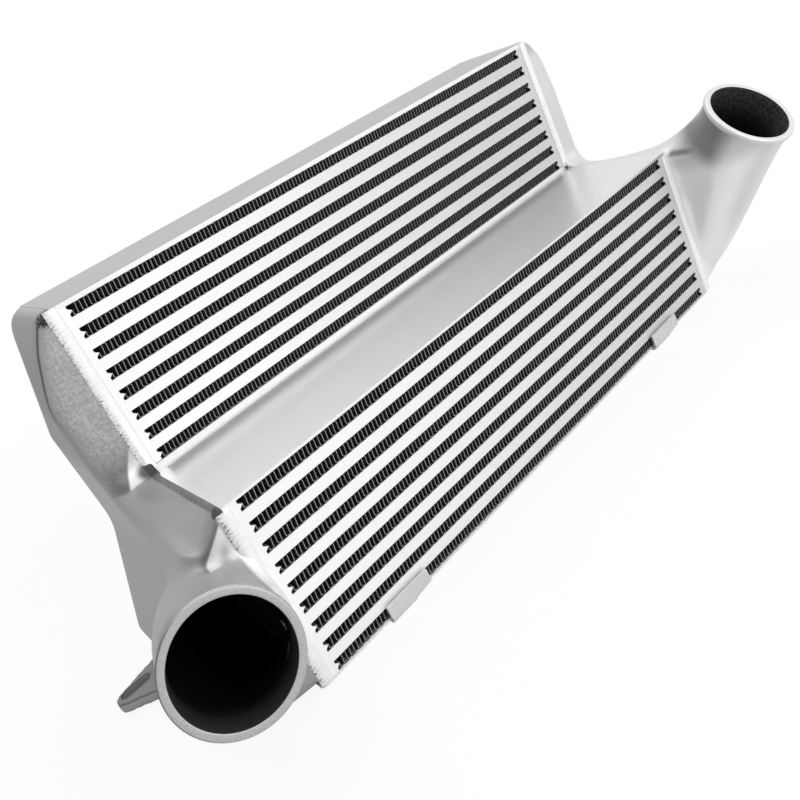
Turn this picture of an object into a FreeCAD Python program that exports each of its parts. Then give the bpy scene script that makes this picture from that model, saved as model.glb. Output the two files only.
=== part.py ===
import FreeCAD, Part
import math
import os
from FreeCAD import Vector

# Stepped bar-and-plate charge air cooler, in millimetres.
# X runs along the core from the left tank to the right tank, Y from the proud
# front face of the lower block to the flat rear face, Z up.
# The origin lies midway between the slots of the two lugs, level with the core's underside.

# Core layout
row_pitch = 16.0
fin_height = 7.95
lower_rows = 9
upper_rows = 8
row_length = 455.2
step_depth = 108.8
upper_depth = 84.2

# Core pieces
sheet_thickness = 0.6
lower_cover_thickness = 1.9
upper_cover_thickness = 3.6
side_bar_width = 9.0
end_bar_width = 9.0
nose_length = 2.5
nose_height = 3.8
fin_sheet = 0.5
fin_fold_pitch = 20.0
fin_recess = 0.8
turbulator_sheet = 0.5
turbulator_fold_pitch = 21.0
fold_end_clearance = 0.3

# Cast end tanks, seen from the core's end: "reach" is how far they stand out
tank_wall = 4.0
tank_foot_reach = 60.0
tank_waist_height = 98.0
tank_waist_radius = 60.0
tank_step_radius = 14.0
tank_front_slope = 0.2
# Front view of each tank above its waist, as (reach, drop from the core's top, radius)
left_dome = [(8.5, 0.0, 12.0), (21.0, 22.0, 50.0), (32.5, 56.0, 50.0)]
left_waist_reach = 29.0
right_dome = [(12.0, 0.0, 12.0), (23.5, 18.0, 30.0), (27.5, 55.0, 60.0)]
right_waist_reach = 28.0
# Oblique flat that narrows the left dome to the rear: its reach at one drop on
# the rear face, and how much it widens per length forward and down
taper_reach = 23.4
taper_drop = 57.0
taper_forward_slope = 0.145
taper_down_slope = 0.22
crease_radius = 9.0
saddle_radius = 20.0
front_edge_radius = 20.0
foot_edge_radius = 12.0
rear_edge_chamfer = 4.0
left_neck_root_radius = 12.0

# Hose necks: the root lies on the lower block's front plane
neck_radius = 36.0
neck_bore_radius = 33.0
neck_straight = 21.0
bead_radius = 38.0
bead_length = 5.0
bead_chamfer = 1.0
left_neck_root_reach = 35.0
left_neck_root_height = 75.5
left_neck_length = 47.5
left_neck_rise_angle = 17.3
left_neck_splay_angle = 12.0
right_neck_root_reach = 40.0
right_neck_root_height = 83.3
right_neck_length = 90.3
right_neck_rise_angle = 46.9
right_neck_splay_angle = 1.8
# Each section behind the straight part: distance past the root, shift out,
# shift up, half width and half height
left_neck_sections = [
    (32.5, -2.0, 0.0, 39.0, 40.0),
    (72.5, -6.0, 0.0, 36.0, 38.0),
    (117.5, -8.0, 0.0, 30.0, 34.0),
]
right_neck_sections = [
    (-32.0, 0.0, 0.0, 38.0, 39.0),
    (0.0, -3.0, 0.0, 38.0, 43.0),
    (38.0, -10.0, 0.0, 32.0, 47.0),
    (60.0, -16.0, 0.0, 22.0, 46.0),
]

# Mounting lug cast on the foot of each tank
slot_depth = 136.5
slot_reach = 81.5
slot_length = 22.0
slot_width = 8.0
lug_thickness = 8.0
lug_past_slot = 4.5
lug_tip_width = 10.0
lug_tip_radius = 4.5
lug_tip_ahead = 1.0
lug_root_reach = 56.0
lug_root_ahead = 34.5
lug_root_behind = 15.5

# Weld bead round the joint between tank and core
weld_width = 9.0
weld_height = 2.0
weld_root = 2.5

# Folded sheet clips under the lower block's front edge
clip_sheet = 2.0
clip_width = 37.0
clip_height = 14.0
clip_gap = 2.0
clip_leg_width = 22.0
clip_leg_length = 28.0
clip_bend_radius = 3.5
clip_tab_step = 2.5
clip_tab_slant = 1.5
left_clip_inset = 45.0
right_clip_inset = 50.0

# Levels and planes that follow from the sizes above
core_length = row_length + 2 * end_bar_width
core_depth = step_depth + upper_depth
lower_stack = (lower_rows - 1) * row_pitch + fin_height
upper_stack = (upper_rows - 1) * row_pitch + fin_height
lower_first_row = lower_cover_thickness
step_level = lower_first_row + lower_stack + lower_cover_thickness
upper_first_row = step_level + upper_cover_thickness
core_height = upper_first_row + upper_stack + upper_cover_thickness
front_plane = -slot_depth
step_plane = front_plane + step_depth
rear_plane = front_plane + core_depth
core_end = core_length / 2
row_end = row_length / 2
bar_height = row_pitch - fin_height - 2 * sheet_thickness


def box(x_low, x_high, y_low, y_high, z_low, z_high):
    corner = Vector(x_low, y_low, z_low)
    return Part.makeBox(x_high - x_low, y_high - y_low, z_high - z_low, corner)


def in_xz(y):
    return lambda p: Vector(p.x, y, p.y)


def in_yz(x):
    return lambda p: Vector(x, p.x, p.y)


def in_xy(z):
    return lambda p: Vector(p.x, p.y, z)


def outline(corners, place):
    """Face through corners (u, v, radius) on a plane, with an arc at each radius."""
    count = len(corners)
    starts = []
    middles = []
    ends = []
    for i in range(count):
        u, v, radius = corners[i]
        here = Vector(u, v, 0)
        if radius == 0:
            starts.append(here)
            middles.append(None)
            ends.append(here)
            continue
        before = Vector(corners[i - 1][0], corners[i - 1][1], 0)
        after = Vector(corners[(i + 1) % count][0], corners[(i + 1) % count][1], 0)
        back = (before - here).normalize()
        ahead = (after - here).normalize()
        half_angle = back.getAngle(ahead) / 2
        reach = radius / math.tan(half_angle)
        centre = here + (back + ahead).normalize() * (radius / math.sin(half_angle))
        starts.append(here + back * reach)
        middles.append(centre + (here - centre).normalize() * radius)
        ends.append(here + ahead * reach)
    edges = []
    for i in range(count):
        if middles[i] is not None:
            arc = Part.Arc(place(starts[i]), place(middles[i]), place(ends[i]))
            edges.append(arc.toShape())
        following = starts[(i + 1) % count]
        edges.append(Part.makeLine(place(ends[i]), place(following)))
    return Part.Face(Part.Wire(edges))


def folded_strip(length, height, sheet, fold_pitch):
    """Zigzag section of a folded fin strip, centred on its length, as (u, v) points."""
    folds = max(2, 2 * round(length / fold_pitch))
    step = length / folds
    slant = math.atan2(height - sheet, step)
    rise = sheet / math.cos(slant)
    upper = []
    lower = []
    for i in range(folds + 1):
        u = -length / 2 + i * step
        v = height / 2 if i % 2 == 0 else rise - height / 2
        upper.append((u, v, 0))
        lower.append((u, v - rise, 0))
    return upper + lower[::-1]


# Stack of the core: every piece as (name, list of solids)
pieces = []


def cover(name, y_low, z_low, thickness):
    pieces.append((name, [box(-core_end, core_end, y_low, rear_plane, z_low, z_low + thickness)]))


def end_bar(side, y_low, z_low):
    """Closing bar of one fin row, with the small nose that points into the fins."""
    middle = z_low + fin_height / 2
    corners = [
        (side * core_end, z_low, 0),
        (side * row_end, z_low, 0),
        (side * row_end, middle - nose_height / 2, 0),
        (side * (row_end - nose_length), middle, 0),
        (side * row_end, middle + nose_height / 2, 0),
        (side * row_end, z_low + fin_height, 0),
        (side * core_end, z_low + fin_height, 0),
    ]
    return outline(corners, in_xz(y_low)).extrude(Vector(0, rear_plane - y_low, 0))


def fin_row(y_low, z_low):
    """Folded fin strip of one row; its folds run front to rear."""
    length = row_length - 2 * nose_length - 2 * fold_end_clearance
    section = folded_strip(length, fin_height, fin_sheet, fin_fold_pitch)
    start = y_low + fin_recess
    strip = outline(section, in_xz(0)).extrude(Vector(0, rear_plane - fin_recess - start, 0))
    strip.translate(Vector(0, start, z_low + fin_height / 2))
    return strip


def turbulator(y_low, z_low):
    """Folded strip inside one charge air passage; its folds run from tank to tank."""
    width = rear_plane - y_low - 2 * side_bar_width - 2 * fold_end_clearance
    section = folded_strip(width, bar_height, turbulator_sheet, turbulator_fold_pitch)
    strip = outline(section, in_yz(0)).extrude(Vector(core_length, 0, 0))
    strip.translate(Vector(-core_end, (y_low + rear_plane) / 2, z_low + bar_height / 2))
    return strip


def core_block(block, y_low, first_row, rows):
    """Fin rows, closing bars and the charge air passages between them."""
    left_bars = []
    right_bars = []
    front_bars = []
    rear_bars = []
    sheets = []
    for i in range(rows):
        z_row = first_row + i * row_pitch
        pieces.append((block + "_fin_row_" + str(i + 1), [fin_row(y_low, z_row)]))
        left_bars.append(end_bar(-1, y_low, z_row))
        right_bars.append(end_bar(1, y_low, z_row))
    for i in range(rows - 1):
        z_sheet = first_row + i * row_pitch + fin_height
        z_bar = z_sheet + sheet_thickness
        z_top = z_bar + bar_height
        sheets.append(box(-core_end, core_end, y_low, rear_plane, z_sheet, z_bar))
        sheets.append(box(-core_end, core_end, y_low, rear_plane, z_top, z_top + sheet_thickness))
        front_bars.append(box(-core_end, core_end, y_low, y_low + side_bar_width, z_bar, z_top))
        rear_bars.append(box(-core_end, core_end, rear_plane - side_bar_width, rear_plane, z_bar, z_top))
        pieces.append((block + "_turbulator_" + str(i + 1), [turbulator(y_low, z_bar)]))
    pieces.append((block + "_left_end_bars", left_bars))
    pieces.append((block + "_right_end_bars", right_bars))
    pieces.append((block + "_front_bars", front_bars))
    pieces.append((block + "_rear_bars", rear_bars))
    pieces.append((block + "_parting_sheets", sheets))


cover("bottom_plate", front_plane, 0.0, lower_cover_thickness)
core_block("lower", front_plane, lower_first_row, lower_rows)
cover("step_plate", front_plane, step_level - lower_cover_thickness, lower_cover_thickness)
cover("upper_block_base", step_plane, step_level, upper_cover_thickness)
core_block("upper", step_plane, upper_first_row, upper_rows)
cover("top_plate", step_plane, core_height - upper_cover_thickness, upper_cover_thickness)


# Cast end tank, drawn for the right end: here X is the reach from the core's end
past_mouth = 20.0
close = 0.01
skin_tolerance = 0.05
section_points = 8


def inner_points(edge):
    first = edge.FirstParameter
    span = edge.LastParameter - first
    return [edge.valueAt(first + span * share) for share in (0.25, 0.5, 0.75)]


def edges_where(edges, test):
    return [edge for edge in edges if all(test(p) for p in inner_points(edge))]


def round_edges(solid, groups):
    """Rounds groups of edges (edges, start radius, end radius) in one operation."""
    document = FreeCAD.newDocument()
    source = document.addObject("Part::Feature", "source")
    source.Shape = solid
    rounded = document.addObject("Part::Fillet", "rounded")
    rounded.Base = source
    choices = []
    for edges, start_radius, end_radius in groups:
        for edge in edges:
            numbers = [i + 1 for i, other in enumerate(solid.Edges) if other.isSame(edge)]
            choices.append((numbers[0], start_radius, end_radius))
    rounded.Edges = choices
    document.recompute()
    result = rounded.Shape.copy()
    FreeCAD.closeDocument(document.Name)
    return result


def behind_taper(inset):
    """Space outside the oblique flat, as a thick slab."""
    outward = Vector(1, taper_forward_slope, taper_down_slope).normalize()
    level = outward.cross(Vector(0, 0, 1)).normalize()
    slope = level.cross(outward)
    middle = Vector(taper_reach, rear_plane, core_height - taper_drop) - outward * inset
    half = 2 * core_height
    corners = [middle + level * (u * half) + slope * (v * half)
               for u, v in ((-1, -1), (1, -1), (1, 1), (-1, 1), (-1, -1))]
    return Part.Face(Part.makePolygon(corners)).extrude(outward * core_height)


def tank_body(dome, waist_reach, tapered, inset):
    """Body of the tank without its neck, or with an inset the hollow inside it."""
    ahead = front_plane - past_mouth
    behind = rear_plane + past_mouth
    front_view = [(-past_mouth, core_height, 0)]
    front_view += [(reach, core_height - drop, radius) for reach, drop, radius in dome]
    front_view += [
        (waist_reach, tank_waist_height, tank_waist_radius),
        (tank_foot_reach, 0, 0),
        (-past_mouth, 0, 0),
    ]
    side_view = [
        (ahead, 0, 0),
        (rear_plane, 0, 0),
        (rear_plane, core_height, 0),
        (step_plane, core_height, 0),
        (step_plane, step_level, tank_step_radius),
        (ahead, step_level, 0),
    ]
    widest = 2 * tank_foot_reach
    plan_view = [
        (-past_mouth, front_plane - tank_front_slope * past_mouth, 0),
        (widest, front_plane + tank_front_slope * widest, 0),
        (widest, behind, 0),
        (-past_mouth, behind, 0),
    ]
    front = outline(front_view, in_xz(ahead))
    side = outline(side_view, in_yz(-2 * past_mouth))
    plan = outline(plan_view, in_xy(-core_height))
    if inset > 0:
        front = front.makeOffset2D(-inset)
        side = side.makeOffset2D(-inset)
        plan = plan.makeOffset2D(-inset)
    body = front.extrude(Vector(0, behind - ahead, 0))
    body = body.common(side.extrude(Vector(2 * widest, 0, 0)))
    body = body.common(plan.extrude(Vector(0, 0, 3 * core_height)))
    if tapered:
        body = body.cut(behind_taper(inset))
    return round_tank_body(body.Solids[0], inset)


def round_tank_body(body, inset):
    """Rounds the cast body; the hollow inside it has radii smaller by its inset."""
    rear = rear_plane - inset
    step_y = step_plane + inset
    step_z = step_level - inset
    arc_top = step_z + tank_step_radius + inset
    front_y = front_plane + inset * math.hypot(1, tank_front_slope)
    mouth = inset - past_mouth

    def on_front(p):
        return abs(p.y - front_y - tank_front_slope * p.x) < close

    def on_foot(p):
        return abs(p.z - inset) < close

    def on_step(p):
        return abs(p.z - step_z) < close

    edges = edges_where(body.Edges, lambda p: p.x > mouth + close)
    crease = edges_where(edges, lambda p: abs(p.y - step_y) < close and p.z > arc_top + close)
    crease += edges_where(edges, lambda p: step_y - tank_step_radius - inset < p.y < step_y
                          and step_z < p.z < arc_top)
    saddle = edges_where(edges, lambda p: on_step(p) and p.x > 1 and not on_front(p)
                         and p.y < step_y - tank_step_radius - inset)
    front = edges_where(edges, lambda p: on_front(p) and inset + close < p.z < step_z - close)
    front_foot = edges_where(edges, lambda p: on_foot(p) and on_front(p))
    outer_foot = edges_where(edges, lambda p: on_foot(p) and p.x > 1 and not on_front(p)
                             and p.y < rear - close)
    cast = round_edges(body, [
        (crease, crease_radius - inset, crease_radius - inset),
        (saddle, saddle_radius - inset, crease_radius - inset),
        (front, front_edge_radius - inset, front_edge_radius - inset),
        (front_foot, foot_edge_radius - inset, foot_edge_radius - inset),
        (outer_foot, foot_edge_radius - inset, foot_edge_radius - inset),
    ])
    if inset > 0:
        return cast
    back = edges_where(cast.Edges, lambda p: abs(p.y - rear) < close and p.x > mouth + close)
    return cast.makeChamfer(rear_edge_chamfer, back)


def neck_axes(rise, splay):
    """Axis of a neck, pointing out of its mouth, with its two cross directions."""
    level = math.cos(math.radians(rise))
    axis = Vector(level * math.sin(math.radians(splay)),
                  -level * math.cos(math.radians(splay)),
                  math.sin(math.radians(rise)))
    across = Vector(0, 0, 1).cross(axis).normalize()
    return axis, across, axis.cross(across)


def neck_loft(root, length, rise, splay, sections, inset):
    """Flared part of the neck, which runs from its straight end into the body."""
    axis, across, upward = neck_axes(rise, splay)
    radius = neck_radius - inset
    straight_end = root + axis * (length - neck_straight)
    wires = [Part.Wire([Part.Circle(straight_end, axis, radius).toShape()])]
    for past_root, shift_out, shift_up, half_width, half_height in sections:
        centre = root - axis * past_root + Vector(shift_out, 0, shift_up)
        points = []
        for i in range(section_points):
            turn = 2 * math.pi * i / section_points
            points.append(centre + across * ((half_width - inset) * math.cos(turn))
                          + upward * ((half_height - inset) * math.sin(turn)))
        curve = Part.BSplineCurve()
        curve.interpolate(points, PeriodicFlag=True)
        wires.append(Part.Wire([curve.toShape()]))
    return Part.makeLoft(wires, True, False)


def lug():
    """Slotted lug on the foot of the tank."""
    slot_y = front_plane + slot_depth
    tip_rear = slot_y - lug_tip_ahead + lug_tip_width / 2
    tip_reach = slot_reach + slot_length / 2 + lug_past_slot
    corners = [
        (0, slot_y + lug_root_behind, 0),
        (lug_root_reach, slot_y + lug_root_behind, 0),
        (tip_reach, tip_rear, lug_tip_radius),
        (tip_reach, tip_rear - lug_tip_width, lug_tip_radius),
        (lug_root_reach, slot_y - lug_root_ahead, 0),
        (0, slot_y - lug_root_ahead, 0),
    ]
    return outline(corners, in_xy(0)).extrude(Vector(0, 0, lug_thickness))


def lug_slot():
    half = slot_length / 2
    middle = front_plane + slot_depth
    end = slot_width / 2
    corners = [
        (slot_reach - half, middle - end, end - close),
        (slot_reach + half, middle - end, end - close),
        (slot_reach + half, middle + end, end - close),
        (slot_reach - half, middle + end, end - close),
    ]
    face = outline(corners, in_xy(-lug_thickness))
    return face.extrude(Vector(0, 0, 3 * lug_thickness))


def rim_edges(disc):
    """The two round edges of a disc, without the seam between them."""
    return [edge for edge in disc.Edges if edge.isClosed()]


def shared_edges(cast, body, flare):
    """Edges along which the neck meets the body, clear of the open mouth."""
    body_skin = body.Solids[0].Shells[0]
    flare_skin = flare.Solids[0].Shells[0]

    def on_both(p):
        spot = Part.Vertex(p)
        if p.x < 1 or body_skin.distToShape(spot)[0] > skin_tolerance:
            return False
        return flare_skin.distToShape(spot)[0] < skin_tolerance

    return edges_where(cast.Edges, on_both)


def end_tank(body, hollow, root, length, rise, splay, sections, root_radius):
    """Hollow cast tank in one piece with its hose neck, bead and lug."""
    axis = neck_axes(rise, splay)[0]
    mouth = root + axis * length
    straight_end = mouth - axis * neck_straight
    flare = neck_loft(root, length, rise, splay, sections, 0)
    cast = body.fuse(flare)
    if root_radius is not None:
        cast = cast.makeFillet(root_radius, shared_edges(cast, body, flare))
    tube = Part.makeCylinder(neck_radius, neck_straight, straight_end, axis)
    bead = Part.makeCylinder(bead_radius, bead_length, mouth - axis * bead_length, axis)
    bead = bead.makeChamfer(bead_chamfer, rim_edges(bead))
    cast = cast.fuse([tube, bead, lug()])
    wall = neck_radius - neck_bore_radius
    corner_wall = box(-core_depth, tank_wall, front_plane - core_depth, front_plane + tank_wall,
                      -core_height, 2 * core_height)
    inner_flare = neck_loft(root, length, rise, splay, sections, wall).cut(corner_wall)
    bore = Part.makeCylinder(neck_bore_radius, neck_straight + past_mouth, straight_end, axis)
    cast = cast.cut(hollow.fuse([inner_flare, bore])).cut(lug_slot())
    outside = box(0, core_length, front_plane - core_depth, rear_plane + core_depth,
                  -core_height, 2 * core_height)
    return cast.common(outside).Solids[0]


def on_right(shape):
    moved = shape.copy()
    moved.translate(Vector(core_end, 0, 0))
    return moved


def on_left(shape):
    return on_right(shape).mirror(Vector(0, 0, 0), Vector(1, 0, 0))


left_tank = end_tank(
    tank_body(left_dome, left_waist_reach, True, 0),
    tank_body(left_dome, left_waist_reach, True, tank_wall),
    Vector(left_neck_root_reach, front_plane, left_neck_root_height),
    left_neck_length, left_neck_rise_angle, left_neck_splay_angle, left_neck_sections, left_neck_root_radius)
right_tank = end_tank(
    tank_body(right_dome, right_waist_reach, False, 0),
    tank_body(right_dome, right_waist_reach, False, tank_wall),
    Vector(right_neck_root_reach, front_plane, right_neck_root_height),
    right_neck_length, right_neck_rise_angle, right_neck_splay_angle, right_neck_sections, None)
pieces.append(("left_end_tank", [on_left(left_tank)]))
pieces.append(("right_end_tank", [on_right(right_tank)]))


# Weld beads, drawn like the tanks: X is the reach from the core's end
def core_side_view(x_low, x_high):
    """Stepped side view of the core as a solid between two X planes."""
    corners = [
        (front_plane, 0, 0),
        (rear_plane, 0, 0),
        (rear_plane, core_height, 0),
        (step_plane, core_height, 0),
        (step_plane, step_level, 0),
        (front_plane, step_level, 0),
    ]
    return outline(corners, in_yz(x_low)).extrude(Vector(x_high - x_low, 0, 0))


def weld_bead(tank):
    """Bead round the corner between core and tank, dressed flush on the core's top."""
    path = [
        Vector(0, front_plane, step_level),
        Vector(0, front_plane, 0),
        Vector(0, rear_plane, 0),
        Vector(0, rear_plane, core_height),
        Vector(0, step_plane, core_height),
        Vector(0, step_plane, step_level),
    ]
    half = weld_width / 2
    inner = front_plane + weld_root
    start = [Vector(x, y, step_level) for x, y in
             ((-half, inner), (-half, front_plane), (half, front_plane), (half, inner))]
    crown = Vector(0, front_plane - weld_height, step_level)
    section = Part.Wire([
        Part.makeLine(start[0], start[1]),
        Part.Arc(start[1], crown, start[2]).toShape(),
        Part.makeLine(start[2], start[3]),
        Part.makeLine(start[3], start[0]),
    ])
    sweep = Part.BRepOffsetAPI.MakePipeShell(Part.makePolygon(path))
    sweep.setTransitionMode(1)
    sweep.add(section)
    sweep.build()
    sweep.makeSolid()
    dressed = box(-weld_width, weld_width, front_plane - weld_width, rear_plane + weld_width,
                  core_height, core_height + weld_width)
    bead = sweep.shape().cut(core_side_view(-core_depth, 0)).cut(tank).cut(dressed)
    return [solid for solid in bead.Solids if solid.Volume > weld_width ** 3]


pieces.append(("left_weld_bead", [on_left(run) for run in weld_bead(left_tank)]))
pieces.append(("right_weld_bead", [on_right(run) for run in weld_bead(right_tank)]))


# Clips under the front edge
def clip(x_left):
    """Folded clip: a leg flat under the bottom plate and a tab before the front face."""
    tab_front = front_plane - clip_gap - clip_sheet
    tab_rear = front_plane - clip_gap
    leg_end = front_plane + clip_leg_length
    side_view = [
        (leg_end, -clip_sheet, 0),
        (leg_end, 0, 0),
        (tab_rear, 0, clip_bend_radius - clip_sheet),
        (tab_rear, clip_height - clip_sheet, 0),
        (tab_front, clip_height - clip_sheet, 0),
        (tab_front, -clip_sheet, clip_bend_radius),
    ]
    folded = outline(side_view, in_yz(x_left)).extrude(Vector(clip_width, 0, 0))
    front_view = [
        (x_left, -clip_sheet, 0),
        (x_left + clip_leg_width, -clip_sheet, 0),
        (x_left + clip_leg_width, clip_tab_step - clip_sheet, 0),
        (x_left + clip_width, clip_tab_step - clip_sheet + clip_tab_slant, 0),
        (x_left + clip_width, clip_height - clip_sheet, 0),
        (x_left, clip_height - clip_sheet, 0),
    ]
    cut = outline(front_view, in_xz(tab_front)).extrude(Vector(0, leg_end - tab_front, 0))
    return folded.common(cut).Solids[0]


pieces.append(("left_clip", [clip(left_clip_inset - row_end)]))
pieces.append(("right_clip", [clip(row_end - right_clip_inset - clip_width)]))

os.makedirs("parts", exist_ok=True)
for name, solids in pieces:
    shape = solids[0] if len(solids) == 1 else Part.makeCompound(solids)
    shape.exportStep("parts/" + name + ".step")
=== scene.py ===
import math

import bmesh
import bpy
import numpy as np
from mathutils import Matrix, Vector
from mathutils.bvhtree import BVHTree


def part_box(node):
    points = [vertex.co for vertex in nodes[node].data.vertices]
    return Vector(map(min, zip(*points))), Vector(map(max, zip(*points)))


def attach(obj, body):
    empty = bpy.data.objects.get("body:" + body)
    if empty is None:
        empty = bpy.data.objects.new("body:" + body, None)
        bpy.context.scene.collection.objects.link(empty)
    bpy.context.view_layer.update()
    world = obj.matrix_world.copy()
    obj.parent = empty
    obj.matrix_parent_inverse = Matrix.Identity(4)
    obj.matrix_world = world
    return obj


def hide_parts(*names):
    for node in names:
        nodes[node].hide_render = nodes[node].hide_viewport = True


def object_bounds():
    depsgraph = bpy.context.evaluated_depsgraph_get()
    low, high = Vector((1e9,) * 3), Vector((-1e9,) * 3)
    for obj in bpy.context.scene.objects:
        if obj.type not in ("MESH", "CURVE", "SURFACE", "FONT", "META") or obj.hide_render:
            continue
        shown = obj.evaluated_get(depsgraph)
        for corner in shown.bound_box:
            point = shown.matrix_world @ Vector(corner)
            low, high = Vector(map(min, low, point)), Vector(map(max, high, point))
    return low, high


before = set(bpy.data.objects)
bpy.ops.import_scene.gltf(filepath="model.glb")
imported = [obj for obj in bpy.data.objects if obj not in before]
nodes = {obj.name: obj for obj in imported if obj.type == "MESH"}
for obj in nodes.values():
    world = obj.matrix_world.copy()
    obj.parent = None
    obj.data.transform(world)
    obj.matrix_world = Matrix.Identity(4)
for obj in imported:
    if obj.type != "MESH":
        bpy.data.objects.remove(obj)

# Stepped bar-and-plate charge air cooler: the core's nodes keep their own meshes,
# and the fins, the cast tanks, the hose rims and the weld beads are dressed here.
# Lengths are in metres, in the frame of the solids: +X to the right tank, -Y to
# the front, +Z up.
cad_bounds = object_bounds()
MM = 0.001

# Core, read from the frame
plate_low, plate_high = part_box("step_plate")
top_low, top_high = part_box("top_plate")
CORE_END = plate_high.x
FRONT = plate_low.y
REAR = plate_high.y
STEP_LEVEL = plate_high.z
STEP_FRONT = top_low.y
CORE_TOP = top_high.z

# Fin strips
FIN_PITCH = 3.1 * MM
FIN_SHEET = 0.42 * MM
FIN_SWAY = 3.6 * MM
FIN_BEND = 0.35 * MM

# Hose necks, as the solids have them
NECK_RADIUS = 36 * MM
BORE_RADIUS = 33 * MM
NECK_STRAIGHT = 21 * MM
BEAD_RADIUS = 38 * MM
BEAD_LENGTH = 5 * MM
LEFT_NECK = {"reach": 35.0, "height": 75.5, "length": 47.5, "rise": 17.3, "splay": 12.0}
RIGHT_NECK = {"reach": 40.0, "height": 83.3, "length": 90.3, "rise": 46.9, "splay": 1.8}

# Cast skin of the tanks
CAST_CELL = 1.6 * MM
ROOT_OVERLAP = 2 * MM
NEAR_SOFTENING = 36
FAR_SOFTENING = 60
BEAD_CLEARANCE = 4.4 * MM
SADDLE_RADIUS = 91 * MM
SADDLE_START = 43.6 * MM
SADDLE_BORE = 34.5 * MM
# a face is shut in if at most so many of its rays leave the tank; the bore is to this depth anyway
HOLLOW_RAYS = 26
HOLLOW_OPEN_RAYS = 3
BORE_DEPTH = 45 * MM

# Weld beads
WELD_WIDTH = 9.6 * MM
WELD_OUT = 0.3 * MM
WELD_HEIGHT = 2 * MM
WELD_STEP = 2.7 * MM
WELD_RIPPLE = 0.26 * MM
WELD_CORNER = 3 * MM
WELD_TAPER = 3.5 * MM
NEAR_WELD_HEIGHT = 2.1 * MM
FAR_WELD_SHARE = 0.85
FAR_RIPPLE_SHARE = 0.25
# levels between which the near neck's root covers its seam, and where the far bead's runs meet
NEAR_SEAM_HIDDEN = (93 * MM, 58 * MM)
FAR_SEAM_JOINT = (85 * MM, 85 * MM)


def neck_line(sizes, side):
    """Middle of the neck's mouth and the neck's axis, which points out of it."""
    rise = math.radians(sizes["rise"])
    splay = math.radians(sizes["splay"])
    axis = Vector((side * math.cos(rise) * math.sin(splay), -math.cos(rise) * math.cos(splay), math.sin(rise)))
    root = Vector((side * (CORE_END + sizes["reach"] * MM), FRONT, sizes["height"] * MM))
    return root + axis * sizes["length"] * MM, axis


# Shader maths: a socket that takes part in plain arithmetic
class Value:
    def __init__(self, finish, output):
        self.finish = finish
        self.output = output

    def math(self, operation, first, second):
        return self.finish.add("ShaderNodeMath", {"operation": operation}, {0: first, 1: second})

    def __add__(self, other):
        return self.math("ADD", self, other)

    def __radd__(self, other):
        return self.math("ADD", other, self)

    def __sub__(self, other):
        return self.math("SUBTRACT", self, other)

    def __rsub__(self, other):
        return self.math("SUBTRACT", other, self)

    def __mul__(self, other):
        return self.math("MULTIPLY", self, other)

    def __rmul__(self, other):
        return self.math("MULTIPLY", other, self)


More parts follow.
